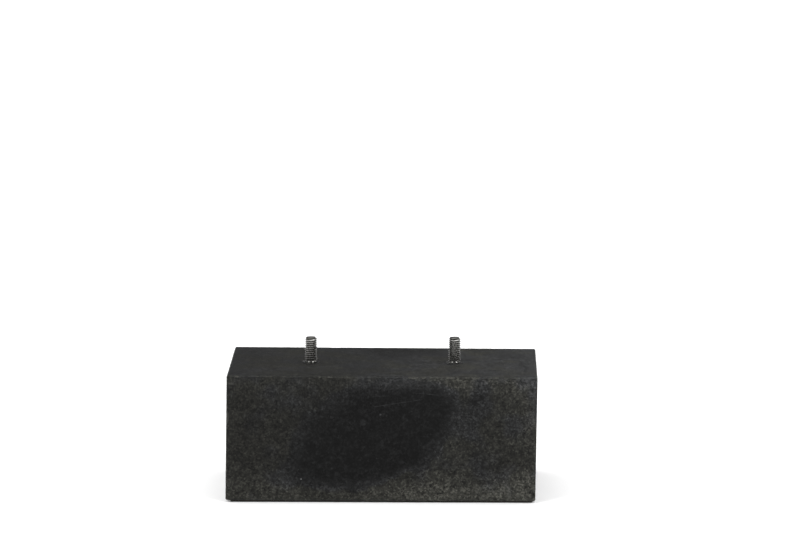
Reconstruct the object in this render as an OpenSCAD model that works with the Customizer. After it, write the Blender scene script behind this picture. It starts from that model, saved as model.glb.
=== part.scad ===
// Display plinth: a solid stone base for a small bronze or other table-top work.
//
// Two threaded studs stand in the block and hold the work from below. Each one
// runs down into a recess in the underside, where a wide washer, a spring washer
// and a nut draw the work down onto the stone. A felt pad covers the underside
// and is cut out around the recesses, so that a socket spanner reaches the nuts.
//
// The front face looks along -Y, and +X is the plinth's right. The origin is the
// middle of the felt's underside, so the plinth stands on z = 0.

/* [Block] */
// Width of the stone, left to right
block_w = 150; // [125:1:300]
// Depth of the stone, front to back
block_d = 80; // [60:1:200]
// Height of the stone alone, without its felt
block_h = 61; // [40:1:150]
// Width of the bevel that eases every arris of the stone
arris = 1.2; // [0.4:0.1:4]

/* [Stud holes] */
// Distance between the two studs, centre to centre
stud_spacing = 70; // [50:1:90]
// Clearance between a stud and its hole in the stone, all round
hole_room = 0.5; // [0.2:0.1:0.9]
// Width of the bevel that breaks the mouth of each hole in the top face
hole_mouth = 0.8; // [0.2:0.1:2]
// Clearance between a wide washer and the wall of its recess, all round
recess_room = 2; // [1:0.5:5]
// Empty depth between the lower end of a stud and the underside of the stone
recess_cover = 5; // [4:0.5:12]

/* [Studs] */
// Outside diameter of the thread at both ends of a stud
stud_d = 6; // [5.6:0.1:7.5]
// Diameter of the plain shank between the two threads
shank_d = 5.3; // [4:0.1:5.5]
// Length of the upper thread, which stands above the top face to screw into the work
stud_proud = 12; // [6:1:30]
// How far the lower thread runs on above its nut
thread_spare = 4; // [3.5:0.5:10]
// How far the lower thread runs on below its nut
stud_tail = 2.5; // [1:0.5:5]
// Width of the bevel at both ends of a stud
stud_bevel = 0.8; // [0.2:0.1:1.5]

/* [Washers] */
// Outside diameter of the wide washers
washer_od = 18; // [14:0.5:24]
// Thickness of the wide washers
washer_t = 1.6; // [1:0.1:3]
// Width of the bevel that blunts the wide washers' lower edge
washer_bevel = 0.2; // [0.1:0.1:0.4]
// Outside diameter of the spring washers
spring_od = 11.8; // [10.5:0.1:13.5]
// Thickness of the spring washers, drawn up flat
spring_t = 1.6; // [1:0.1:2.5]
// Width of the slanting cut through a spring washer
spring_cut = 0.8; // [0.4:0.1:1.6]
// Lean of that cut from upright, in degrees
spring_lean = 25; // [0:5:40]
// Clearance between a washer and its stud, all round
washer_room = 0.2; // [0.05:0.05:0.5]

/* [Nuts] */
// Distance across the flats of a nut
nut_af = 10; // [9.5:0.1:13]
// Height of a nut
nut_h = 5; // [3:0.5:8]
// Gap between the thread of a stud and the thread of its nut, all round
thread_gap = 0.05; // [0.02:0.01:0.1]
// How far the flat ends of a nut stop short of its flats
nut_face_step = 0.25; // [0.1:0.05:0.5]
// Slope of the turned bevel on the corners of a nut, in degrees
nut_slope = 30; // [20:5:40]
// Width of the bevel that leads a stud into its nut
nut_lead = 0.4; // [0.1:0.1:0.8]

/* [Felt] */
// Thickness of the felt
felt_t = 1; // [0.5:0.1:3]
// How far the felt stops short of the edge of the flat underside
felt_margin = 0.4; // [0.2:0.1:3]
// How much wider a cut-out in the felt is than its recess, all round
felt_cutout = 1; // [0.5:0.5:4]

/* [Hidden] */

$fn = 96;

// The two sides of the plinth, as signs along X
left = -1;
right = 1;
// How far a cutting shape runs on past the face that it cuts
over = 1;

// Rings and holes on each stud
hole_d = stud_d + 2 * hole_room;
washer_id = stud_d + 2 * washer_room;
nut_bore_d = stud_d + 2 * thread_gap;
recess_d = washer_od + 2 * recess_room;
recess_h = washer_t + spring_t + nut_h + stud_tail + recess_cover;

// Heights of the faces that bear on one another, from the top down
top_z = felt_t + block_h;
washer_top_z = felt_t + recess_h;
spring_top_z = washer_top_z - washer_t;
nut_top_z = spring_top_z - spring_t;
stud_foot_z = nut_top_z - nut_h - stud_tail;

stone_colour = "#3c3c3a";
felt_colour = "#2a2622";
stud_colour = "#b9b8b2";
washer_colour = "#c9c9c6";
spring_colour = "#8f8f8c";
nut_colour = "#bfbdb4";

// Puts a fixing on its stud's axis, at height z
module on_stud(side, z) {
    translate([side * stud_spacing / 2, 0, z]) children();
}

// A flat plate of w by h, t thick, with its four corners cut at 45 degrees
module plate(w, h, t) {
    x = w / 2;
    y = h / 2;
    linear_extrude(t, center = true)
        polygon([
            [-x + arris, -y], [x - arris, -y], [x, -y + arris], [x, y - arris],
            [x - arris, y], [-x + arris, y], [-x, y - arris], [-x, -y + arris],
        ]);
}

// The block with its twelve arrises eased: three plates, one seen along each axis
module eased_block() {
    intersection() {
        plate(block_w, block_d, block_h + 2 * over);
        rotate([90, 0, 0]) plate(block_w, block_h, block_d + 2 * over);
        rotate([90, 0, 90]) plate(block_d, block_h, block_w + 2 * over);
    }
}

// All that is drilled for one stud, from the stone's underside up
module stud_drilling() {
    translate([0, 0, -over]) cylinder(d = recess_d, h = recess_h + over);
    cylinder(d = hole_d, h = block_h + over);
    translate([0, 0, block_h - hole_mouth])
        cylinder(d1 = hole_d, d2 = hole_d + 2 * (hole_mouth + over), h = hole_mouth + over);
}

module stone_block() {
    color(stone_colour)
        difference() {
            translate([0, 0, felt_t + block_h / 2]) eased_block();
            for (side = [left, right]) on_stud(side, felt_t) stud_drilling();
        }
}

module felt_base() {
    inset = 2 * (arris + felt_margin);
    color(felt_colour)
        difference() {
            translate([0, 0, felt_t / 2])
                cube([block_w - inset, block_d - inset, felt_t], center = true);
            for (side = [left, right])
                on_stud(side, -over) cylinder(d = recess_d + 2 * felt_cutout, h = felt_t + 2 * over);
        }
}

// A rod threaded at both ends, with each thread drawn plain at its outside diameter.
// The upper thread starts level with the top face.
module stud(side) {
    r = stud_d / 2;
    shank_r = shank_d / 2;
    step = r - shank_r;
    tip_z = top_z + stud_proud;
    spare_z = nut_top_z + thread_spare;
    color(stud_colour)
        on_stud(side, 0)
            rotate_extrude()
                polygon([
                    [0, tip_z], [r - stud_bevel, tip_z], [r, tip_z - stud_bevel],
                    [r, top_z], [shank_r, top_z - step],
                    [shank_r, spare_z + step], [r, spare_z],
                    [r, stud_foot_z + stud_bevel], [r - stud_bevel, stud_foot_z], [0, stud_foot_z],
                ]);
}

// A wide washer that spreads the pull of the nut over the recess's ceiling
module washer(side) {
    r = washer_od / 2;
    color(washer_colour)
        on_stud(side, spring_top_z)
            rotate_extrude()
                polygon([
                    [washer_id / 2, 0], [r - washer_bevel, 0], [r, washer_bevel],
                    [r, washer_t], [washer_id / 2, washer_t],
                ]);
}

// A split ring, drawn up flat, that keeps the nut from working loose
module spring_washer(side) {
    band = (spring_od - washer_id) / 2;
    cut_h = spring_t / cos(spring_lean) + 2 * over;
    color(spring_colour)
        on_stud(side, nut_top_z)
            difference() {
                cylinder(d = spring_od, h = spring_t);
                translate([0, 0, -over]) cylinder(d = washer_id, h = spring_t + 2 * over);
                translate([0, (spring_od - band) / 2, spring_t / 2])
                    rotate([0, spring_lean, 0])
                        cube([spring_cut, band + 2 * over, cut_h], center = true);
            }
}

// A hexagon nut: a six-sided bar inside the turned outline that bevels its corners,
// which stand 30 degrees round from the middle of each flat
module nut(side) {
    corner_r = nut_af / 2 / cos(30);
    face_r = nut_af / 2 - nut_face_step;
    bore_r = nut_bore_d / 2;
    reach_r = corner_r + over;
    drop = (reach_r - face_r) * tan(nut_slope);
    color(nut_colour)
        on_stud(side, nut_top_z - nut_h)
            intersection() {
                translate([0, 0, -over]) cylinder(r = corner_r, h = nut_h + 2 * over, $fn = 6);
                rotate_extrude()
                    polygon([
                        [bore_r, nut_lead], [bore_r + nut_lead, 0], [face_r, 0], [reach_r, drop],
                        [reach_r, nut_h - drop], [face_r, nut_h], [bore_r + nut_lead, nut_h],
                        [bore_r, nut_h - nut_lead],
                    ]);
            }
}

stone_block();
felt_base();
stud(left);  // stud_left
stud(right);  // stud_right
washer(left);  // washer_left
washer(right);  // washer_right
spring_washer(left);  // spring_washer_left
spring_washer(right);  // spring_washer_right
nut(left);  // nut_left
nut(right);  // nut_right
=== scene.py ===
"""The looks of a small stone display plinth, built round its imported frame.

The block is a honed dark stone with worn arrises. Felt lies under it, and two studs stand
up through it to carry a bronze. Everything is in metres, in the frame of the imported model:
+X is the plinth's right, the front face looks along -Y, and it stands on z = 0.
"""

import math
import random

import bmesh
import bpy
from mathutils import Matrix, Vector
from mathutils.geometry import tessellate_polygon


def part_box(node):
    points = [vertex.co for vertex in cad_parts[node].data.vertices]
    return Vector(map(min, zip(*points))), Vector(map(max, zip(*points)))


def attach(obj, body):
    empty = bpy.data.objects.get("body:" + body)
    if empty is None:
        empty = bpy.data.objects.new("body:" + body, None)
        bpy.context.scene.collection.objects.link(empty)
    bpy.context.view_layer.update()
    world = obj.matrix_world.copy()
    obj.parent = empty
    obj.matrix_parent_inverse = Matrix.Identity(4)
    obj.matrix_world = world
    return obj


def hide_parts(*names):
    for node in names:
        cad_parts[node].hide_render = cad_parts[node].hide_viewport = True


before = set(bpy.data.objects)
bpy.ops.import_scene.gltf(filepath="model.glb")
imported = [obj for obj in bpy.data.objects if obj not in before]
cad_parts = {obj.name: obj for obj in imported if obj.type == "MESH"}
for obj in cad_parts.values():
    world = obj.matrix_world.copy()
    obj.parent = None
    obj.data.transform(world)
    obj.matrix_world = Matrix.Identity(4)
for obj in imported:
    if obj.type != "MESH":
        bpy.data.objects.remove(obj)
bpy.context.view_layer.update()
MM = 0.001

# The pieces, as packed
BLOCK_LOW, BLOCK_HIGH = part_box("stone_block")
FELT_LOW, FELT_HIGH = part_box("felt_base")
STUD_LOW, STUD_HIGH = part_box("stud_right")
WASHER_LOW, WASHER_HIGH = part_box("washer_right")
BLOCK_SIZE = BLOCK_HIGH - BLOCK_LOW
STUD_X = (STUD_LOW.x + STUD_HIGH.x) / 2
STUD_D = STUD_HIGH.x - STUD_LOW.x

# The block as it really is: a little out of true, with soft arrises
ARRIS = 0.8 * MM
WEAR = 0.25 * MM
LEAN = 0.86 * MM
TAPER = 0.6 * MM

# What is drilled in it for each stud, and cut out of the felt
HOLE_D = STUD_D + 1.0 * MM
HOLE_MOUTH = 0.8 * MM
RECESS_D = WASHER_HIGH.x - WASHER_LOW.x + 4.0 * MM
FELT_CUTOUT_D = RECESS_D + 2.0 * MM

# The studs' thread, and the plain shank between its two lengths
PITCH = 1.0 * MM
THREAD_ROOT_D = STUD_D - 1.2268 * PITCH
SHANK_D = STUD_D - 0.7 * MM
LOWER_THREAD_TOP = WASHER_HIGH.z + 0.8 * MM
TIP_BEVEL = 0.8 * MM


# ---------------------------------------------------------------- node trees


class Value:
    """A number in a node tree. Python's operators on it add the Math nodes."""

    def __init__(self, tree, socket):
        self.tree = tree
        self.socket = socket

    def __add__(self, other):
        return self.tree.math("ADD", self, other)

    def __sub__(self, other):
        return self.tree.math("SUBTRACT", self, other)

    def __rsub__(self, other):
        return self.tree.math("SUBTRACT", other, self)

    def __mul__(self, other):
        return self.tree.math("MULTIPLY", self, other)

    def __truediv__(self, other):
        return self.tree.math("DIVIDE", self, other)

    def __pow__(self, other):
        return self.tree.math("POWER", self, other)

    def __abs__(self):
        return self.tree.math("ABSOLUTE", self)

    def __gt__(self, other):
        return self.tree.math("GREATER_THAN", self, other)

    def __lt__(self, other):
        return self.tree.math("LESS_THAN", self, other)

    __radd__ = __add__
    __rmul__ = __mul__


class Tree:
    """A node tree, with one way of adding any node to it."""

    def __init__(self, made):
        self.made = made

    def node(self, kind, settings=None, inputs=(), out=0):
        """Adds a node, makes its settings, then fills its sockets with values or links."""
        node = self.made.nodes.new(kind)
        for name, value in (settings or {}).items():
            setattr(node, name, value)
        places = inputs.items() if isinstance(inputs, dict) else enumerate(inputs)
        for place, value in places:
            self.fill(node.inputs[place], value)
        return Value(self, node.outputs[out] if node.outputs else None)

    def fill(self, socket, value):
        """Links a socket, or sets it. A list of links goes to a socket that takes several."""
        if isinstance(value, Value):
            self.made.links.new(value.socket, socket)
        elif isinstance(value, list):
            for one in value:
                self.made.links.new(one.socket, socket)
        else:
            socket.default_value = value

    def math(self, operation, *values):
        return self.node("ShaderNodeMath", {"operation": operation}, values)

    def least(self, first, second):
        return self.math("MINIMUM", first, second)

    def most(self, first, second):
        return self.math("MAXIMUM", first, second)

    def vector(self, operation, inputs, out=0):
        return self.node("ShaderNodeVectorMath", {"operation": operation}, inputs, out)

    def step(self, value, start, end, low=0.0, high=1.0):
        """A smooth change from low to high as value goes from start to end."""
        settings = {"interpolation_type": "SMOOTHSTEP"}
        return self.node("ShaderNodeMapRange", settings, [value, start, end, low, high])

    def split(self, vector):
        """The three numbers of a vector."""
        outputs = self.node("ShaderNodeSeparateXYZ", None, [vector]).socket.node.outputs
        return [Value(self, outputs[i]) for i in range(3)]

    def join(self, x, y, z):
        return self.node("ShaderNodeCombineXYZ", None, [x, y, z])

    def noise_at(self, where, size, detail=2.0, rough=0.5, out=0):
        """Noise with lumps of about this size, from 0 to 1 round a middle of 0.5."""
        inputs = {"Vector": where, "Scale": 1 / size, "Detail": detail, "Roughness": rough}
        return self.node("ShaderNodeTexNoise", None, inputs, out)


# ---------------------------------------------------------------- finishes


class Finish(Tree):
    """A material whose patterns are measured in millimetres on the piece itself."""

    def __init__(self, name, **constants):
        self.material = bpy.data.materials.new(name)
        self.material.use_nodes = True
        super().__init__(self.material.node_tree)
        self.shader = self.made.nodes["Principled BSDF"]
        for socket, value in constants.items():
            self.shader.inputs[socket.replace("_", " ")].default_value = value
        place = self.node("ShaderNodeTexCoord", out="Object")
        self.place = self.vector("SCALE", {0: place, "Scale": 1 / MM})
        self.x, self.y, self.z = self.split(self.place)

    def noise(self, size, detail=2.0, rough=0.5, stretch=(1, 1, 1), turn=(0, 0, 0), shift=0.0):
        """Noise on the piece, whose lumps may be stretched and turned."""
        inputs = {"Vector": self.place, "Location": (shift, shift, shift)}
        inputs |= {"Rotation": turn, "Scale": stretch}
        where = self.node("ShaderNodeMapping", None, inputs)
        return self.noise_at(where, size, detail, rough)

    def cells(self, size, feature="F1", out="Distance", rough=0.0):
        """Cells of about size millimetres, like crystals."""
        wander = self.noise_at(self.place, size * 0.8, 2, out="Color")
        shifted = self.vector("MULTIPLY_ADD", [wander, (rough, rough, rough), self.place])
        inputs = {"Vector": shifted, "Scale": 1 / size}
        return self.node("ShaderNodeTexVoronoi", {"feature": feature}, inputs, out)

    def mix(self, share, first, second):
        """A colour between two others."""
        return self.node("ShaderNodeMix", {"data_type": "RGBA"}, {0: share, 6: first, 7: second}, 2)

    def attribute(self, name):
        return self.node("ShaderNodeAttribute", {"attribute_name": name}, out="Fac")

    def finish(self, colour, rough, height, depth):
        """Feeds the shader, and lifts the surface by height times depth millimetres."""
        inputs = {"Height": height, "Distance": depth * MM, "Strength": 1.0}
        bump = self.node("ShaderNodeBump", None, inputs)
        self.fill(self.shader.inputs["Normal"], bump)
        self.fill(self.shader.inputs["Base Color"], colour)
        self.fill(self.shader.inputs["Roughness"], rough)
        return self.material


def grey(level, tint=(1, 1, 1)):
    """A grey, or a tinted one, as a colour socket takes it."""
    return (level * tint[0], level * tint[1], level * tint[2], 1.0)


# The stone's darkest and palest greys, and how much it shines
STONE_DARK = 0.0026
STONE_PALE = 0.112
STONE_SHINE = 0.08
WARM = (1.0, 0.99, 0.85)
COOL = (0.97, 0.99, 1.01)

# How far each of these goes from the darkest grey to the palest, at its strongest
HAZE_AND_REFLECTION_PALE = 0.32
HAIR_PALE = 0.05
DUST_PALE = 0.06
RUB_AND_HIGHLIGHT_PALE = 0.30
SCRATCH_PALE = 0.13
WIPE_PALE = 0.05
HEAD_PALE = 0.025

# The same for the grain's details: on clean stone, and in the painted dark reflection on the front
# face and the random patches elsewhere
DETAIL_PALE = {
    "outlines": (0.04, 0.03),
    "flecks": (0.08, 0.14),
    "crystals": (0.045, 0.033),
    "sparks": (0.09, 0.04),
    "clouds": (0.045, 0.03),
}

# How much of the haze is taken away in the painted dark reflection on the front face and in the
# random patches elsewhere, and how much less of it the top face has, as painted shade
HAZE_CUT_IN_DARK_REFLECTION_AND_PATCHES = 0.95
TOP_PAINTED_SHADE = 0.4

# Marks on the front face, in millimetres across and up: each scratch's two ends and its
# width, and each speck's place, radius and strength
SCRATCHES = [((-5.0, 46.8), (21.5, 51.0), 0.16), ((13.0, 54.1), (29.5, 52.7), 0.14)]
SPECKS = [(-38.5, 11.6, 0.35, 1.0), (-0.3, 43.3, 0.5, 0.25), (-8.6, 39.4, 1.6, 0.06)]

# The oval of painted dark reflection on the front face: its middle, half width, half height and
# slant
DARK_REFLECTION_OVAL = {"x": -3.4, "z": 32.8, "wide": 32.0, "high": 24.0, "slant": 0.66}
FRONT_Y = BLOCK_LOW.y / MM
TOP_Z = BLOCK_HIGH.z / MM


def painted_dark_reflection_and_patches(stone):
    """1 inside the slanting oval of painted dark reflection on the front, 0 elsewhere on the front,
    and random patches on the other faces.
    """
    up = stone.z - DARK_REFLECTION_OVAL["z"]
    across = stone.x - DARK_REFLECTION_OVAL["x"] - DARK_REFLECTION_OVAL["slant"] * up
    reach = (abs(across / DARK_REFLECTION_OVAL["wide"]) ** 3 + abs(up / DARK_REFLECTION_OVAL["high"]) ** 3) ** (1 / 3)
    reach = reach + (stone.noise(16, 3) - 0.5) * 0.5
    softness = stone.step(across, -30, 25, 0.30, 0.16)
    inside = stone.step(reach, 1.0 - softness, 1.0 + softness, 1.0, 0.0)
    front = stone.step(stone.y, FRONT_Y + 1.5, FRONT_Y + 3, 1.0, 0.0)
    patches = stone.step(stone.noise(60, 2, shift=40), 0.46, 0.66)
    return inside * front + patches * (1 - front) * 0.8


def haze_and_painted_reflection(stone):
    """How much pale grey haze there is, partly real haze and partly painted reflection and light:
    most along the foot, at the top and to the right.
    """
    right = stone.step(stone.x, -20, 45)
    right_end = stone.step(stone.x, 52, 75)
    left_end = stone.step(stone.x, -75, -66, 1.0, 0.0)
    wander = (stone.noise(11, 3) - 0.5) * 16
    foot = stone.step(stone.z + wander, 2, 20, 1.0, 0.0)
    head = stone.step(stone.z + wander, 50, 62)
    share = 0.18 + 0.10 * right + 0.15 * right_end + 0.12 * left_end
    share = share + foot * (0.33 + 0.20 * right) + head * (0.08 + 0.27 * right)
    return share * (1 + (stone.noise(24, 3, shift=9) - 0.5) * 1.6)


def crystals(stone, size):
    """Crystals of about size millimetres: most of them dark, and a few of them pale."""
    return stone.split(stone.cells(size, out="Color", rough=size))[0] ** 3


def speckle(stone):
    """The stone's fine grain, round a middle of 1."""
    fine = stone.noise(0.9, 1, 0.6) - 0.5
    coarse = stone.noise(3.6, 3, 0.6, shift=5) - 0.5
    return stone.most(0.56 + crystals(stone, 0.75) * 1.7 + fine * 1.6 + coarse * 1.9, 0.08)


def grain_details(stone, dark_reflection_and_patches):
    """What lightens the stone from crystal to crystal, all added up."""
    outlines = stone.step(stone.cells(2.6, "DISTANCE_TO_EDGE", rough=1.8), 0.03, 0.13, 1.0, 0.0)
    flecks = stone.step(stone.cells(2.4, rough=1.0), 0.06, 0.13, 1.0, 0.0)
    details = {
        "outlines": outlines * stone.step(stone.noise(4, 2, shift=21), 0.50, 0.62),
        "flecks": flecks * stone.step(stone.noise(6, 1, shift=12), 0.55, 0.62),
        "crystals": crystals(stone, 0.8),
        "sparks": stone.step(crystals(stone, 1.1), 0.74, 1.0),
        "clouds": stone.step(stone.noise(2.2, 3, 0.65, shift=50), 0.48, 0.75),
    }
    pale = 0.0
    for name, detail in details.items():
        # The painted dark reflection on the front, and the random patches elsewhere, take their own
        # share of each detail
        on_clean, on_dark_reflection_and_patches = DETAIL_PALE[name]
        pale = detail * (on_clean + dark_reflection_and_patches * (on_dark_reflection_and_patches - on_clean)) + pale
    return pale


def line_on_front(stone, start, end, width):
    """1 along a straight scratch on the front face, fading and broken like a real one."""
    length = math.dist(start, end)
    along_x, along_z = (end[0] - start[0]) / length, (end[1] - start[1]) / length
    run = (stone.x - start[0]) * along_x + (stone.z - start[1]) * along_z
    off = abs((stone.z - start[1]) * along_x - (stone.x - start[0]) * along_z)
    ends = stone.step(run, 0, 3) * stone.step(run, length - 3, length, 1.0, 0.0)
    broken = stone.step(stone.noise(2.0, 2, shift=2), 0.38, 0.6, 0.25, 1.0)
    return stone.step(off, 0, width * 2, 1.0, 0.0) * ends * broken


def marks_on_front(stone):
    """The scratches and pale specks on the front face, added up."""
    front = stone.y < FRONT_Y + 2
    marks = 0.0
    for start, end, width in SCRATCHES:
        marks = line_on_front(stone, start, end, width) * SCRATCH_PALE + marks
    for x, z, radius, strength in SPECKS:
        off = ((stone.x - x) ** 2 + (stone.z - z) ** 2) ** 0.5
        marks = marks + stone.step(off, radius * 0.5, radius * 1.3, strength, 0.0)
    return marks * front


def fine_scratches(stone):
    """Hairline scratches, most of them nearly level, here and there."""
    lines = 0.0
    for turn, shift in ((0.1, 3), (-0.35, 17), (1.2, 31)):
        streak = stone.noise(0.55, 1, stretch=(0.03, 0.03, 1), turn=(0, turn, 0), shift=shift)
        where = stone.step(stone.noise(18, 2, shift=shift), 0.52, 0.62)
        lines = stone.step(streak, 0.70, 0.78) * where + lines
    return lines


def wipes(stone):
    """Faint upright streaks and a paler band below the top arris, from wiping down."""
    streaks = stone.step(stone.noise(0.6, 2, stretch=(1, 1, 0.07), shift=61), 0.50, 0.72)
    reach = stone.step(stone.z + stone.noise(9, 2, shift=62) * 12, 50, 66)
    band = stone.step(stone.z, 54, 60) * stone.step(stone.noise(22, 1, shift=63), 0.35, 0.60)
    upright = stone.step(stone.z, TOP_Z - 1.0, TOP_Z - 0.4, 1.0, 0.0)
    return (streaks * reach * WIPE_PALE + band * HEAD_PALE) * upright


def top_face(stone):
    """1 on the top face, which falls a little to the right, else 0."""
    fallen = (stone.x * MM - BLOCK_LOW.x) * (TAPER / BLOCK_SIZE.x / MM)
    return stone.step(stone.z + fallen, TOP_Z - 1.2, TOP_Z - 0.3)


def dust_on(stone, top):
    """Dust on the top face, in long level streaks."""
    streaks = stone.noise(1.2, 3, stretch=(0.04, 1, 1), shift=8)
    return top * stone.step(streaks, 0.42, 0.75) * DUST_PALE


def rub_and_highlight_on(stone, arris, top):
    """Where the arrises are pale, here and there: partly rubbed wear and partly a painted
    highlight, kept darker on the top face as painted shade.
    """
    where = stone.step(stone.noise(4, 3, shift=27), 0.42, 0.60)
    # Painted highlight in part along the arrises, and painted shade on the top face
    return arris ** 2 * where * (1 - top * 0.5) * RUB_AND_HIGHLIGHT_PALE


def stone_colour(stone, pale, dark_reflection_and_patches):
    """From dark to pale grey: warm in most places, and cool high up, in the painted dark reflection
    and in the random patches.
    """
    cooler = stone.noise(14, 2, shift=33) + stone.x * 0.001 + stone.z * 0.003 + dark_reflection_and_patches
    tint = stone.step(cooler, 0.58, 0.83)
    palest = stone.mix(tint, grey(STONE_PALE, WARM), grey(STONE_PALE, COOL))
    return stone.mix(pale, grey(STONE_DARK), palest)


def honed_stone():
    """Dark stone, honed, with a pale grey haze held in its grain that is partly painted reflection
    and light, and a painted dark reflection on the front.
    """
    stone = Finish("honed_stone", Specular_IOR_Level=STONE_SHINE)
    arris = stone.attribute("arris")
    top = top_face(stone)
    grain = speckle(stone)
    # Painted reflection: a dark oval on the front face, and random patches on the other faces
    dark_reflection_and_patches = painted_dark_reflection_and_patches(stone)
    hairs = fine_scratches(stone)
    dust = dust_on(stone, top)
    # Pale haze, partly painted reflection and light, taken away in the painted dark reflection on
    # the front face
    pale = haze_and_painted_reflection(stone) * (1 - HAZE_CUT_IN_DARK_REFLECTION_AND_PATCHES * dark_reflection_and_patches) * grain
    # Painted shade: the top face keeps less of the pale haze, as if a bronze on it shaded it
    pale = pale * HAZE_AND_REFLECTION_PALE * (1 - top * TOP_PAINTED_SHADE)
    pale = pale + grain_details(stone, dark_reflection_and_patches) + hairs * HAIR_PALE
    pale = pale + dust + rub_and_highlight_on(stone, arris, top) + marks_on_front(stone) + wipes(stone)
    rough = 0.54 - dark_reflection_and_patches * 0.08 - arris * 0.14 + (grain - 1) * 0.05 + dust
    relief = grain * 0.5 + hairs * -0.6 + stone.noise(0.5, 2, shift=4) * 0.6
    return stone.finish(stone_colour(stone, pale, dark_reflection_and_patches), rough, relief, 0.02)


def broken_stone():
    """A chip's fresh face: rougher and a little paler than the honed stone."""
    stone = Finish("broken_stone", Specular_IOR_Level=0.25)
    lumps = stone.noise(0.9, 4, 0.7)
    sparkle = stone.step(stone.cells(0.6), 0.05, 0.2, 1.0, 0.0)
    pale = stone.step(lumps, 0.25, 0.8, 0.12, 0.42) + sparkle * 0.12
    colour = stone.mix(pale, grey(STONE_DARK), grey(STONE_PALE, WARM))
    return stone.finish(colour, 0.72 + lumps * 0.2, lumps + sparkle * 0.2, 0.12)


def drilled_stone():
    """The wall of a drilled hole: dusty, with the rings that the drill leaves."""
    stone = Finish("drilled_stone", Specular_IOR_Level=0.2)
    rings = stone.noise(0.5, 2, stretch=(0.02, 0.02, 1))
    dust = stone.step(stone.noise(5, 3), 0.35, 0.7, 0.25, 0.7)
    colour = stone.mix(dust + rings * 0.2, grey(STONE_DARK), grey(STONE_PALE))
    return stone.finish(colour, 0.8 + rings * 0.15, rings + stone.noise(0.6, 2) * 0.5, 0.06)


# Plated steel where it is bright, dull and scuffed, and the dark in a thread's root, partly dirt
# and partly painted shade
STEEL_BRIGHT = 0.62
STEEL_DULL = 0.40
STEEL_SCUFFED = 0.74
STEEL_DIRT_AND_SHADE = 0.05


def from_stud(metal):
    """How far a point is from the axis of its own stud, in millimetres."""
    return ((abs(metal.x) - STUD_X / MM) ** 2 + metal.y ** 2) ** 0.5


def plated_steel(name, tint, rough, turned=1.0, dirt_and_shade_below=0.0):
    """Zinc plate over steel, scuffed and dulled. Below the given radius of a thread the root is
    darkened: partly dirt and partly painted shade.
    """
    metal = Finish(name, Metallic=1.0)
    dull = metal.noise(3.5, 4, 0.65)
    lines = metal.noise(0.6, 2, stretch=(0.1, 1, 0.4), turn=(0.3, 0.7, 0.4))
    scuffs = metal.step(lines, 0.6, 0.72)
    rings = metal.noise_at(metal.join(from_stud(metal), 0, metal.z * 0.6), 0.22, 2) * turned
    dulled = metal.step(dull, 0.35, 0.75)
    colour = metal.mix(dulled, grey(STEEL_BRIGHT, tint), grey(STEEL_DULL, tint))
    colour = metal.mix(scuffs * 0.5, colour, grey(STEEL_SCUFFED))
    if dirt_and_shade_below:
        # Partly dirt and partly painted shade, darkening the thread's root
        dirt_and_shade = metal.step(from_stud(metal), dirt_and_shade_below - 0.45, dirt_and_shade_below, 0.9, 0.0)
        colour = metal.mix(dirt_and_shade, colour, grey(STEEL_DIRT_AND_SHADE, WARM))
    shine = rough + (dull - 0.5) * 0.35 - scuffs * 0.08 + (rings - 0.5) * 0.12
    return metal.finish(colour, shine, rings * 0.6 + dull * 0.3 - scuffs * 0.3, 0.02)


# The felt's darkest and palest wool, and the lint on it
FELT_DARK = grey(0.022, WARM)
FELT_PALE = grey(0.090, (1.0, 0.86, 0.76))
FELT_LINT = grey(0.12, WARM)


def felt_finish():
    """Pressed wool felt, dark and a little brown, matted and uneven."""
    sheen = {"Sheen_Weight": 0.35, "Sheen_Roughness": 0.5}
    felt = Finish("brown_black_felt", Specular_IOR_Level=0.15, **sheen)
    matted = felt.noise(0.35, 4, 0.75)
    lumps = felt.noise(4, 3, shift=7)
    strands = felt.noise(0.3, 1, stretch=(0.12, 1, 1), turn=(0, 0, 0.8))
    lint = felt.step(strands, 0.68, 0.76)
    share = (matted - 0.3) * 0.8 + (lumps - 0.5) * 0.6
    colour = felt.mix(share, FELT_DARK, FELT_PALE)
    colour = felt.mix(lint * 0.5, colour, FELT_LINT)
    return felt.finish(colour, 0.9 + lumps * 0.08, matted + lumps * 0.8 + lint * 0.3, 0.12)


# ---------------------------------------------------------------- making pieces


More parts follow.
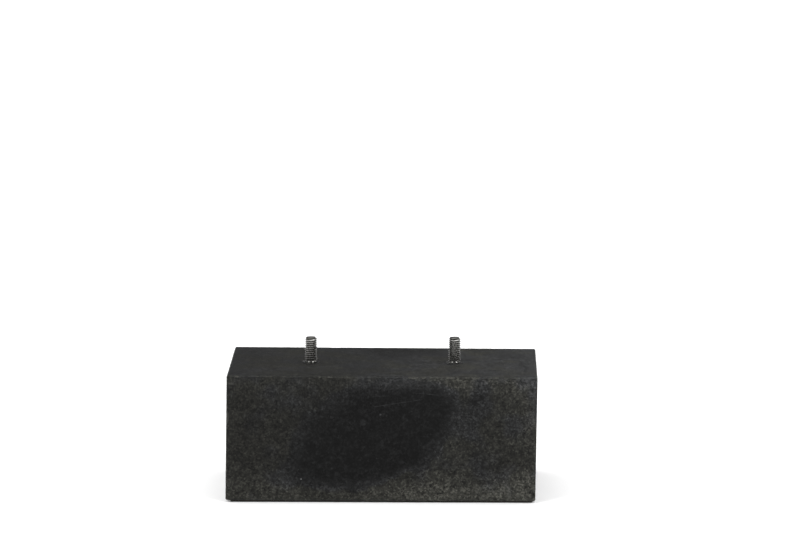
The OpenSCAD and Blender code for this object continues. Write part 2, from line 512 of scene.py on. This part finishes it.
class Pattern(Tree):
    """A Geometry Nodes tree that makes one kind of piece from its named sizes."""

    def __init__(self, name, start=False, **sizes):
        self.group = bpy.data.node_groups.new(name, "GeometryNodeTree")
        super().__init__(self.group)
        face = self.group.interface
        face.new_socket("Piece", in_out="OUTPUT", socket_type="NodeSocketGeometry")
        if start:
            face.new_socket("Start", in_out="INPUT", socket_type="NodeSocketGeometry")
        self.values = {}
        for label, value in sizes.items():
            kind = "NodeSocketInt" if isinstance(value, int) else "NodeSocketFloat"
            socket = face.new_socket(label, in_out="INPUT", socket_type=kind)
            self.values[socket.identifier] = value
        sockets = self.made.nodes.new("NodeGroupInput").outputs
        self.size = {s.name: Value(self, s) for s in sockets if s.name}

    def place(self):
        return self.node("GeometryNodeInputPosition")

    def move(self, piece, position):
        """Puts each point of a piece at a place."""
        return self.node("GeometryNodeSetPosition", None, {"Geometry": piece, "Position": position})

    def shift(self, piece, x, y, z):
        """Moves each point of a piece by a step."""
        inputs = {"Geometry": piece, "Offset": self.join(x, y, z)}
        return self.node("GeometryNodeSetPosition", None, inputs)

    def store(self, piece, name, value, kind="FLOAT", domain="POINT"):
        settings = {"data_type": kind, "domain": domain}
        inputs = {"Geometry": piece, "Name": name, "Value": value}
        return self.node("GeometryNodeStoreNamedAttribute", settings, inputs)

    def stored(self, name, kind="FLOAT"):
        return self.node("GeometryNodeInputNamedAttribute", {"data_type": kind}, {"Name": name})

    def chance(self, low, high, seed):
        """A number for each point, between low and high."""
        return self.node("FunctionNodeRandomValue", None, {2: low, 3: high, "Seed": seed}, 1)

    def spaced(self, line, apart):
        """A line with its points this far apart."""
        inputs = {"Curve": line, "Length": apart}
        return self.node("GeometryNodeResampleCurve", {"mode": "LENGTH"}, inputs)

    def points_of(self, line):
        return self.node("GeometryNodeCurveToPoints", {"mode": "EVALUATED"}, [line])

    def copies(self, points, instance, **turned):
        inputs = {"Points": points, "Instance": instance} | turned
        return self.node("GeometryNodeInstanceOnPoints", None, inputs)

    def joined(self, pieces):
        return self.node("GeometryNodeJoinGeometry", None, {0: pieces})

    def dress(self, piece, material, chosen=True):
        inputs = {"Geometry": piece, "Selection": chosen, "Material": material}
        return self.node("GeometryNodeSetMaterial", None, inputs)

    def real(self, piece):
        return self.node("GeometryNodeRealizeInstances", None, {"Geometry": piece})

    def smooth(self, piece, sharpest):
        """Smooth shading, but for edges that turn by more than this angle in degrees."""
        piece = self.node("GeometryNodeSetShadeSmooth", {"domain": "FACE"}, {"Geometry": piece})
        sharp = self.node("GeometryNodeInputMeshEdgeAngle") > math.radians(sharpest)
        inputs = {"Geometry": piece, "Selection": sharp, "Shade Smooth": False}
        return self.node("GeometryNodeSetShadeSmooth", {"domain": "EDGE"}, inputs)

    def hand_over(self, piece):
        self.node("NodeGroupOutput", None, [piece])


def link(name, data):
    """Puts a mesh, a light or a camera in the scene as an object."""
    made = bpy.data.objects.new(name, data)
    bpy.context.scene.collection.objects.link(made)
    return made


def drop_empty_slots(mesh):
    for index in reversed(range(len(mesh.materials))):
        if mesh.materials[index] is None:
            mesh.materials.pop(index=index)


def made_by(pattern, name, start=None, **sizes):
    """Makes a piece from a pattern, as a plain mesh with no modifier left on it."""
    piece = link(name, start or bpy.data.meshes.new(name))
    modifier = piece.modifiers.new(name, "NODES")
    modifier.node_group = pattern.group
    for identifier, value in pattern.values.items():
        modifier[identifier] = value
    for item in pattern.group.interface.items_tree:
        if item.name in sizes:
            modifier[item.identifier] = sizes[item.name]
    shown = piece.evaluated_get(bpy.context.evaluated_depsgraph_get())
    mesh = bpy.data.meshes.new_from_object(shown)
    piece.modifiers.remove(modifier)
    piece.data = mesh
    mesh.name = name
    drop_empty_slots(mesh)
    return piece


MERGE_WITHIN = 0.002 * MM


def close_up(piece):
    """Merges what lies together, and turns every face outwards."""
    mesh = bmesh.new()
    mesh.from_mesh(piece.data)
    bmesh.ops.remove_doubles(mesh, verts=mesh.verts, dist=MERGE_WITHIN)
    bmesh.ops.recalc_face_normals(mesh, faces=mesh.faces)
    mesh.to_mesh(piece.data)
    mesh.free()


def settle(piece, slot, *nodes):
    """Hides the imported parts that a finished piece replaces. Every piece rides on the one body.
    """
    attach(piece, "root")
    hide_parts(*nodes)


# ---------------------------------------------------------------- stone block

# The block's grid: its faces each way, and the rows that turn halfway over an arris
GRID = (128, 72, 56)
ARRIS_ROWS = 4

# Brings the arrises' mask up to 1 along their middles
ARRIS_GAIN = 3.4
WEAR_LUMP = 7 * MM

# The small chips along the arrises: how far apart they may be, and how many there are
CHIP_SPACING = 5.0 * MM
CHIP_SHARE = 0.3
CHIP_SMALLEST = 0.8 * MM
CHIP_SPREAD = 1.9 * MM
CHIP_LUMP = 1.1 * MM
CHIP_RAGGED = 0.5 * MM

# What each face of the cut block came from
CHIPPED = 1.0
DRILLED = 2.0

# How far the drills run past the faces they come out of
RUN_PAST = 2 * MM


def block_sizes(block):
    return [block.size[side] for side in ("Width", "Depth", "Height")]


def row_place(block, share, half, arris, rows):
    """Where a row of the box's grid goes: even on the face, then turning over the arris."""
    index = abs(share) * rows
    flat = block.least(index / (rows - ARRIS_ROWS), 1.0)
    turn = block.most((index - (rows - ARRIS_ROWS)) / ARRIS_ROWS, 0.0)
    reach = (half - arris) * flat + arris * block.math("TANGENT", turn * (math.pi / 4))
    return reach * block.math("SIGN", share)


def out_of_true(block, place):
    """Leans the sides to the right, and lets the top face fall to the right."""
    x, y, z = block.split(place)
    lean, width = block.size["Lean"], block.size["Width"]
    up = z / block.size["Height"] + 0.5
    new_x = x * (1 - lean / width) + lean * (up - 0.5)
    new_z = z - block.size["Taper"] * up * (x / width + 0.5)
    return block.join(new_x, y, new_z)


def soft_box(block):
    """A box with round arrises, a little worn and out of true, centred on the origin."""
    box = block.node("GeometryNodeMeshCube", None, [(2, 2, 2), *(faces + 1 for faces in GRID)])
    arris = block.size["Arris"]
    halves = [size / 2 for size in block_sizes(block)]
    shares = block.split(block.place())
    spread = [row_place(block, s, h, arris, n / 2) for s, h, n in zip(shares, halves, GRID)]
    inner = [block.most(block.least(p, h - arris), arris - h) for p, h in zip(spread, halves)]
    core = block.join(*inner)
    away = block.vector("SUBTRACT", [block.join(*spread), core])
    outward = block.vector("NORMALIZE", [away])
    nx, ny, nz = block.split(block.vector("ABSOLUTE", [outward]))
    on_arris = block.least((1 - block.most(nx, block.most(ny, nz))) * ARRIS_GAIN, 1.0)
    place = block.vector("ADD", [core, block.vector("SCALE", {0: outward, "Scale": arris})])
    worn = block.noise_at(place, WEAR_LUMP, 3, 0.7) * block.size["Wear"] * on_arris
    place = block.vector("SUBTRACT", [place, block.vector("SCALE", {0: outward, "Scale": worn})])
    box = block.store(box, "arris", on_arris)
    return block.move(box, out_of_true(block, place))


def chip_places(block):
    """Points by chance along the box's twelve edges, each with a chip's size."""
    wire = block.node("GeometryNodeMeshCube", None, [(1, 1, 1), 2, 2, 2])
    sizes = block.join(*block_sizes(block))
    wire = block.move(wire, block.vector("MULTIPLY", [block.place(), sizes]))
    line = block.node("GeometryNodeMeshToCurve", None, [wire])
    points = block.points_of(block.spaced(line, block.size["Chip spacing"]))
    spare = block.chance(0, 1, 11) > block.size["Chip share"]
    inputs = {"Geometry": points, "Selection": spare}
    points = block.node("GeometryNodeDeleteGeometry", None, inputs)
    return block.store(points, "size", block.chance(0, 1, 12) ** 3 * CHIP_SPREAD + CHIP_SMALLEST)


def ragged(block, scoops):
    """Scoops with an uneven surface, as broken stone has."""
    rough = block.noise_at(block.place(), CHIP_LUMP, 2, out="Color")
    place = block.vector("MULTIPLY_ADD", [rough, (CHIP_RAGGED,) * 3, block.place()])
    return block.move(scoops, block.vector("SUBTRACT", [place, (CHIP_RAGGED / 2,) * 3]))


def chips(block):
    """Rounded scoops along the arrises: some by chance, and the chosen ones."""
    chosen = block.node("GeometryNodeMeshToPoints", None, {"Mesh": block.size["Start"]})
    points = block.joined([chip_places(block), chosen])
    place = block.split(block.place())
    at_edge = [abs(p) > size / 2 * 0.985 for p, size in zip(place, block_sizes(block))]
    signs = [block.math("SIGN", p) * e for p, e in zip(place, at_edge)]
    outward = block.vector("NORMALIZE", [block.join(*signs)])
    radius = block.stored("size")
    rise = radius - block.size["Arris"] * 0.62 - radius * block.chance(0.10, 0.26, 13)
    on_edge = out_of_true(block, block.place())
    moved = block.vector("MULTIPLY_ADD", [outward, block.join(rise, rise, rise), on_edge])
    long = block.chance(0.1, 1.3, 14)
    stretch = block.join(*((1 + (1 - e) * long) * radius for e in at_edge))
    points = block.move(block.store(points, "stretch", stretch, "FLOAT_VECTOR"), moved)
    scoop = block.node("GeometryNodeMeshIcoSphere", None, {"Radius": 1.0, "Subdivisions": 3})
    scoops = block.real(block.copies(points, scoop, Scale=block.stored("stretch", "FLOAT_VECTOR")))
    return block.store(ragged(block, scoops), "cut", CHIPPED, domain="FACE")


def stud_points(block, up):
    """A point on each stud's axis: on the block's underside where up is 0, on top where 1."""
    apart, height = block.size["Stud spacing"], block.size["Height"]
    inputs = {"Count": 2, "Offset": block.join(apart, 0, 0)}
    inputs |= {"Start Location": block.join(apart * -0.5, 0, height * -0.5)}
    line = block.node("GeometryNodeMeshLine", None, inputs)
    x, y, z = block.split(block.place())
    fall = block.size["Taper"] * (x / block.size["Width"] + 0.5)
    return block.move(line, block.join(x, y, z + (height - fall) * up))


def upright_rod(block, sides, diameter, foot, head):
    """A cylinder from one height to another."""
    inputs = {"Vertices": sides, "Radius": diameter / 2, "Depth": head - foot}
    rod = block.node("GeometryNodeMeshCylinder", None, inputs)
    return block.shift(rod, 0, 0, (head + foot) / 2)


def hole_mouth(block):
    """The cone that eases a hole's mouth, round the point where its axis leaves the stone."""
    mouth, radius = block.size["Mouth"], block.size["Hole"] / 2
    inputs = {"Vertices": 64, "Radius Bottom": radius - mouth, "Radius Top": radius + mouth * 2}
    cone = block.node("GeometryNodeMeshCone", None, inputs | {"Depth": mouth * 3})
    return block.shift(cone, 0, 0, mouth * -2)


def drillings(block):
    """The hole, its eased mouth and the recess for each stud, as solids to take away."""
    height, ceiling = block.size["Height"], block.size["Recess top"]
    recess = upright_rod(block, 96, block.size["Recess"], -RUN_PAST, ceiling)
    foot, head = ceiling - RUN_PAST / 2, height + RUN_PAST * 1.5
    hole = upright_rod(block, 64, block.size["Hole"], foot, head)
    drill = block.copies(stud_points(block, 0), block.joined([recess, hole]))
    cone = block.copies(stud_points(block, 1), hole_mouth(block))
    return block.store(block.real(block.joined([drill, cone])), "cut", DRILLED, domain="FACE")


def block_pattern(honed, broken, drilled):
    block = Pattern(
        "stone_block",
        start=True,
        Width=BLOCK_SIZE.x,
        Depth=BLOCK_SIZE.y,
        Height=BLOCK_SIZE.z,
        Arris=ARRIS,
        Wear=WEAR,
        Lean=LEAN,
        Taper=TAPER,
        Hole=HOLE_D,
        Mouth=HOLE_MOUTH,
        Recess=RECESS_D,
        **{"Foot": BLOCK_LOW.z, "Recess top": WASHER_HIGH.z - BLOCK_LOW.z},
        **{"Stud spacing": STUD_X * 2, "Chip spacing": CHIP_SPACING, "Chip share": CHIP_SHARE},
    )
    inputs = {"Mesh 1": soft_box(block), "Mesh 2": [chips(block), drillings(block)]}
    settings = {"operation": "DIFFERENCE", "solver": "EXACT"}
    piece = block.node("GeometryNodeMeshBoolean", settings, inputs | {"Self Intersection": True})
    piece = block.shift(piece, 0, 0, block.size["Height"] / 2 + block.size["Foot"])
    piece = block.real(block.smooth(piece, 32))
    cut = block.stored("cut")
    piece = block.dress(piece, honed)
    piece = block.dress(piece, broken, cut > CHIPPED / 2)
    piece = block.dress(piece, drilled, cut > (CHIPPED + DRILLED) / 2)
    block.hand_over(piece)
    return block


def chosen_chips():
    """The bigger chips: each a place on an edge, in shares of the block, and a size."""
    wanted = [
        ((-0.5, -0.5, -0.5), 2.1 * MM),
        ((0.5, -0.5, -0.5), 1.1 * MM),
        ((0.5, -0.5, 0.5), 2.4 * MM),
        ((0.10, -0.5, 0.5), 1.6 * MM),
        ((0.22, -0.5, 0.5), 2.2 * MM),
        ((-0.5, 0.5, 0.5), 2.4 * MM),
        ((0.31, 0.5, 0.5), 2.6 * MM),
    ]
    mesh = bpy.data.meshes.new("chosen_chips")
    mesh.from_pydata([Vector(place) * BLOCK_SIZE for place, _ in wanted], [], [])
    sizes = mesh.attributes.new("size", "FLOAT", "POINT")
    sizes.data.foreach_set("value", [size for _, size in wanted])
    return mesh


def make_block():
    pattern = block_pattern(honed_stone(), broken_stone(), drilled_stone())
    piece = made_by(pattern, "honed_stone_block", start=chosen_chips())
    settle(piece, "stone", "stone_block")


# ---------------------------------------------------------------- threaded studs

# Where the thread's four rows lie in each turn, from its crest's foot to its root's top
THREAD_ROWS = (-1 / 16, 1 / 16, 3 / 8, 5 / 8)
LOWER_ROWS = 58
UPPER_ROWS = 60
AROUND = 48

# The length over which a thread fades into the shank
RUN_OUT = 0.6 * MM

# Dirt and painted shade lie in the thread below this radius, in millimetres
THREAD_DIRT_AND_SHADE = STUD_D / 2 / MM - 0.1


def thread(stud, row, turn, start, end, fade_start, fade_end):
    """Height and radius along one length of thread. It fades out into the shank."""
    whole = stud.math("FLOOR", row / 4)
    part = row - whole * 4
    phase = THREAD_ROWS[0] + (part > 0.5) * (THREAD_ROWS[1] - THREAD_ROWS[0])
    phase = phase + (part > 1.5) * (THREAD_ROWS[2] - THREAD_ROWS[1])
    phase = phase + (part > 2.5) * (THREAD_ROWS[3] - THREAD_ROWS[2])
    height = start + (whole + phase + turn - 1) * stud.size["Pitch"]
    height = stud.most(stud.least(height, end), start)
    depth = (stud.size["Crest"] - stud.size["Root"]) * (part > 1.5)
    radius = stud.size["Crest"] - depth
    shank = stud.step(height, fade_start, fade_end)
    return height, radius * (1 - shank) + stud.size["Shank"] * shank


def stud_wall(stud):
    """The stud's wall as one wrapped grid: a lower thread, a shank and an upper thread."""
    lower, upper = stud.size["Lower rows"], stud.size["Upper rows"]
    counts = {"Size X": 1.0, "Size Y": 1.0, "Vertices X": AROUND + 1, "Vertices Y": lower + upper}
    grid = stud.node("GeometryNodeMeshGrid", None, counts)
    x, y, _ = stud.split(stud.place())
    turn = x + 0.5
    row = stud.math("ROUND", (y + 0.5) * (lower + upper - 1))
    top, foot = stud.size["Lower top"], stud.size["Upper foot"]
    start, end = stud.size["Foot"], stud.size["Tip"]
    low_z, low_r = thread(stud, row, turn, start, top, top - RUN_OUT, top)
    high_z, high_r = thread(stud, row - lower, turn, foot, end, foot + RUN_OUT, foot)
    is_upper = row > lower - 0.5
    height = low_z * (1 - is_upper) + high_z * is_upper
    radius = low_r * (1 - is_upper) + high_r * is_upper
    from_end = stud.least(height - start, end - height)
    radius = stud.least(radius, stud.size["Crest"] - stud.size["Bevel"] + from_end)
    angle = turn * math.tau
    across = stud.math("COSINE", angle) * radius + stud.size["Across"]
    return stud.move(grid, stud.join(across, stud.math("SINE", angle) * radius, height))


def stud_end(stud, height):
    """The flat end inside a bevel."""
    disc = {"Vertices": AROUND, "Radius": stud.size["Crest"] - stud.size["Bevel"]}
    end = stud.node("GeometryNodeMeshCircle", {"fill_type": "NGON"}, disc)
    return stud.shift(end, stud.size["Across"], 0, height)


def stud_pattern(steel):
    stud = Pattern(
        "threaded_stud",
        Crest=STUD_D / 2,
        Root=THREAD_ROOT_D / 2,
        Shank=SHANK_D / 2,
        Pitch=PITCH,
        Bevel=TIP_BEVEL,
        Foot=STUD_LOW.z,
        Tip=STUD_HIGH.z,
        Across=STUD_X,
        **{"Lower rows": LOWER_ROWS, "Upper rows": UPPER_ROWS},
        **{"Lower top": LOWER_THREAD_TOP, "Upper foot": BLOCK_HIGH.z},
    )
    ends = [stud_end(stud, stud.size[end]) for end in ("Foot", "Tip")]
    piece = stud.real(stud.smooth(stud.joined([stud_wall(stud), *ends]), 40))
    stud.hand_over(stud.dress(piece, steel))
    return stud


def make_studs(steel):
    pattern = stud_pattern(steel)
    for side, across in (("left", -STUD_X), ("right", STUD_X)):
        piece = made_by(pattern, "threaded_stud_" + side, Across=across)
        close_up(piece)
        settle(piece, "steel", "stud_" + side)


# ---------------------------------------------------------------- felt and hardware

FELT_EDGE = 0.2 * MM
FELT_CORNER = 1.5 * MM
OUTLINE_POINTS = 240
OUTLINE_WAVES = 5
CUTOUT_POINTS = 72

# The loose fibres on its cut edges
FIBRES_APART = 0.35 * MM
FIBRE_LONG = 0.55 * MM


def felt_outline(inset):
    """The felt's outline, with its corners rounded, cut by hand and so a little wavy."""
    rng = random.Random(5)
    half_x, half_y = FELT_HIGH.x - inset, FELT_HIGH.y - inset
    waves = [
        (rng.uniform(2, 9), rng.uniform(0, math.tau), rng.uniform(0.03, 0.09) * MM)
        for _ in range(OUTLINE_WAVES)
    ]
    outline = []
    for i in range(OUTLINE_POINTS):
        angle = math.tau * (i + 0.5) / OUTLINE_POINTS
        cos, sin = math.cos(angle), math.sin(angle)
        reach = min(half_x / max(abs(cos), 1e-9), half_y / max(abs(sin), 1e-9))
        x, y = cos * reach, sin * reach
        past_x = max(abs(x) - half_x + FELT_CORNER, 0)
        past_y = max(abs(y) - half_y + FELT_CORNER, 0)
        over = max(math.hypot(past_x, past_y) - FELT_CORNER, 0)
        pull = sum(size * (1 + math.sin(many * angle * 3 + start)) for many, start, size in waves)
        scale = 1 - (pull + over) / math.hypot(x, y)
        outline.append((x * scale, y * scale))
    return outline


def felt_cutout(side, inset):
    """The round cut-out under one recess, a little uneven."""
    radius = FELT_CUTOUT_D / 2 + inset
    loop = []
    for i in range(CUTOUT_POINTS):
        turn = math.tau * i / CUTOUT_POINTS
        wobble = 1 + 0.008 * math.sin(3 * turn + side) + 0.005 * math.sin(7 * turn)
        across = radius * wobble * math.cos(turn)
        loop.append((side * STUD_X + across, radius * wobble * math.sin(turn)))
    return loop


def felt_loops(inset):
    """The felt's outline and its two cut-outs, all this far in from its edge."""
    return [felt_outline(inset), felt_cutout(-1, inset), felt_cutout(1, inset)]


def felt_levels():
    """The felt's loops of points at each height, from its underside up."""
    thick = FELT_HIGH.z - FELT_LOW.z
    low = [(FELT_EDGE, 0), (FELT_EDGE * 0.3, FELT_EDGE * 0.3), (0, FELT_EDGE)]
    high = [(inset, thick - up) for inset, up in reversed(low)]
    return [
        [[Vector((x, y, up)) for x, y in loop] for loop in felt_loops(inset)]
        for inset, up in low + high
    ]


def band_faces(loops, low, high):
    """The faces between two levels, whose points start at low and at high."""
    faces, at = [], 0
    for loop in loops:
        count = len(loop)
        for i in range(count):
            this, following = at + i, at + (i + 1) % count
            faces.append((low + this, low + following, high + following, high + this))
        at += count
    return faces


def make_felt(finish):
    """A sheet of felt with softened edges, cut out round the two recesses."""
    levels = felt_levels()
    points, starts = [], []
    for level in levels:
        starts.append(len(points))
        points += [point for loop in level for point in loop]
    faces = [tuple(reversed(three)) for three in tessellate_polygon(levels[0])]
    faces += [tuple(i + starts[-1] for i in three) for three in tessellate_polygon(levels[-1])]
    for low, high in zip(starts, starts[1:]):
        faces += band_faces(levels[0], low, high)
    mesh = bpy.data.meshes.new("felt_under_the_block")
    mesh.from_pydata(points, [], faces)
    mesh.materials.append(finish)
    piece = link("felt_under_the_block", mesh)
    close_up(piece)
    return piece


def fibre(felt):
    """One bent hair, as long as 1, lying along X."""
    ends = {"Start": (0, 0, 0), "End": (1, 0, 0)}
    hair = felt.node("GeometryNodeCurvePrimitiveLine", None, ends)
    hair = felt.node("GeometryNodeResampleCurve", {"mode": "COUNT"}, {"Curve": hair, "Count": 5})
    x, _, _ = felt.split(felt.place())
    bend = felt.math("SINE", x * 2.4) * 0.22
    hair = felt.move(hair, felt.join(x - 0.5, bend, x * x * 0.12))
    round_hair = {"Resolution": 4, "Radius": 0.03}
    ring = felt.node("GeometryNodeCurvePrimitiveCircle", {"mode": "RADIUS"}, round_hair)
    tube = {"Curve": hair, "Profile Curve": ring, "Fill Caps": True}
    return felt.node("GeometryNodeCurveToMesh", None, tube)


def fibre_pattern(finish):
    """Loose wool fibres along the felt's cut edges."""
    felt = Pattern("felt_fibres", start=True, Apart=FIBRES_APART, Long=FIBRE_LONG)
    rim = felt.node("GeometryNodeMeshToCurve", None, {"Mesh": felt.size["Start"]})
    points = felt.points_of(felt.spaced(rim, felt.size["Apart"]))
    points = felt.shift(points, 0, 0, felt.chance(0.25, 0.85, 3) * MM)
    turn = felt.join(0, felt.chance(-0.25, 0.25, 4), felt.chance(0, math.tau, 5))
    long = felt.chance(0.5, 1.1, 6) * felt.size["Long"]
    fibres = felt.copies(points, fibre(felt), Rotation=turn, Scale=long)
    felt.hand_over(felt.dress(felt.real(fibres), finish))
    return felt


def felt_rim():
    """The felt's cut edges as closed lines, for the fibres to start from."""
    points, edges = [], []
    for loop in felt_loops(FELT_EDGE * 0.5):
        start, count = len(points), len(loop)
        points += [(x, y, FELT_LOW.z) for x, y in loop]
        edges += [(start + i, start + (i + 1) % count) for i in range(count)]
    mesh = bpy.data.meshes.new("felt_rim")
    mesh.from_pydata(points, edges, [])
    return mesh


def area_inside(loop):
    pairs = zip(loop, loop[1:] + loop[:1])
    return abs(sum(a[0] * b[1] - b[0] * a[1] for a, b in pairs)) / 2


def make_felt_base():
    finish = felt_finish()
    felt = make_felt(finish)
    fibres = made_by(fibre_pattern(finish), "felt_fibres", start=felt_rim())
    settle(felt, "felt", "felt_base")
    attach(fibres, "root")
    outline, *cut_outs = felt_loops(0)
    area = area_inside(outline) - sum(area_inside(loop) for loop in cut_outs)


def dress_hardware(steel):
    """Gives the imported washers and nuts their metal."""
    spring_steel = plated_steel("dark_spring_steel", (0.62, 0.60, 0.58), 0.38)
    finishes = {"spring_washer": spring_steel, "washer": steel, "nut": steel}
    for kind, finish in finishes.items():
        for side in ("left", "right"):
            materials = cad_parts[f"{kind}_{side}"].data.materials
            materials.clear()
            materials.append(finish)


# ---------------------------------------------------------------- the stage

CAMERA_PLACE = (0.0433, -2.1328, 0.4486)
CAMERA_DOWN = 9.05
CAMERA_TO_LEFT = 0.937

# The middle of the plinth, which the lights look at
MIDDLE = Vector((0, 0, 0.03))

# The world's light at the horizon, over it and overhead
HORIZON = 1.25
LOW_SKY = 0.13
HIGH_SKY = 0.6

# The floor's paper, and the glow that keeps it white further off than FLOOR_NEAR millimetres
FLOOR_HALF = 7.0
FLOOR_WHITE = 0.86
FLOOR_NEAR, FLOOR_FAR = 200, 1300
NEAR_GLOW, FAR_GLOW = 0.10, 1.15


def add_camera():
    data = bpy.data.cameras.new("camera")
    data.lens = 200.0
    data.sensor_width = 36.0
    data.clip_end = 30.0
    camera = link("camera", data)
    camera.location = CAMERA_PLACE
    camera.rotation_euler = (math.radians(90 - CAMERA_DOWN), 0, math.radians(CAMERA_TO_LEFT))
    bpy.context.scene.camera = camera


def softbox(name, place, size, watts):
    """A square soft light that looks at the plinth."""
    data = bpy.data.lights.new(name, "AREA")
    data.size = size
    data.energy = watts
    light = link(name, data)
    light.location = place
    light.rotation_euler = (MIDDLE - Vector(place)).to_track_quat("-Z", "Y").to_euler()


def add_lights():
    softbox("overhead_softbox", (0, 0.1, 1.5), size=1.6, watts=20)
    softbox("left_softbox", (-1.5, -1.3, 1.4), size=0.9, watts=30)
    softbox("right_softbox", (1.5, -1.3, 1.4), size=0.9, watts=26)
    softbox("back_left_softbox", (-1.7, 1.1, 1.1), size=0.7, watts=9)
    softbox("back_right_softbox", (1.7, 1.1, 1.1), size=0.7, watts=9)


def add_world():
    """White at the horizon, where the floor runs out, grey over it and pale overhead."""
    world = bpy.data.worlds.new("studio")
    world.use_nodes = True
    bpy.context.scene.world = world
    sky = Tree(world.node_tree)
    background = world.node_tree.nodes["Background"]
    up = sky.split(sky.node("ShaderNodeTexCoord", out="Generated"))[2]
    over = sky.step(up, 0.55, 0.9, LOW_SKY, HIGH_SKY)
    horizon = sky.step(abs(up), 0.03, 0.08, 1.0, 0.0)
    sky.fill(background.inputs["Strength"], over * (1 - horizon) + horizon * HORIZON)
    background.inputs["Color"].default_value = grey(1.0)


def add_floor():
    """A white floor that stays white as far as one can see."""
    mesh = bpy.data.meshes.new("floor")
    signs = [(-1, -1), (1, -1), (1, 1), (-1, 1)]
    corners = [(x * FLOOR_HALF, y * FLOOR_HALF, 0) for x, y in signs]
    mesh.from_pydata(corners, [], [(0, 1, 2, 3)])
    paper = Finish("white_floor", Roughness=0.6, Specular_IOR_Level=0.1, Emission_Strength=1.0)
    paper.shader.inputs["Base Color"].default_value = grey(FLOOR_WHITE)
    far = (paper.x ** 2 + paper.y ** 2) ** 0.5
    glow = paper.step(far, FLOOR_NEAR, FLOOR_FAR, NEAR_GLOW, FAR_GLOW)
    paper.fill(paper.shader.inputs["Emission Color"], paper.join(glow, glow, glow))
    mesh.materials.append(paper.material)
    link("floor", mesh)


# ---------------------------------------------------------------- all of it

add_camera()
add_world()
add_floor()
add_lights()
bpy.context.scene.view_settings.view_transform = "Standard"
make_block()
make_studs(plated_steel("rolled_thread_steel", (0.9, 0.89, 0.86), 0.34, 0.2, THREAD_DIRT_AND_SHADE))
dress_hardware(plated_steel("zinc_plated_steel", (1.0, 1.0, 0.97), 0.30))
make_felt_base()
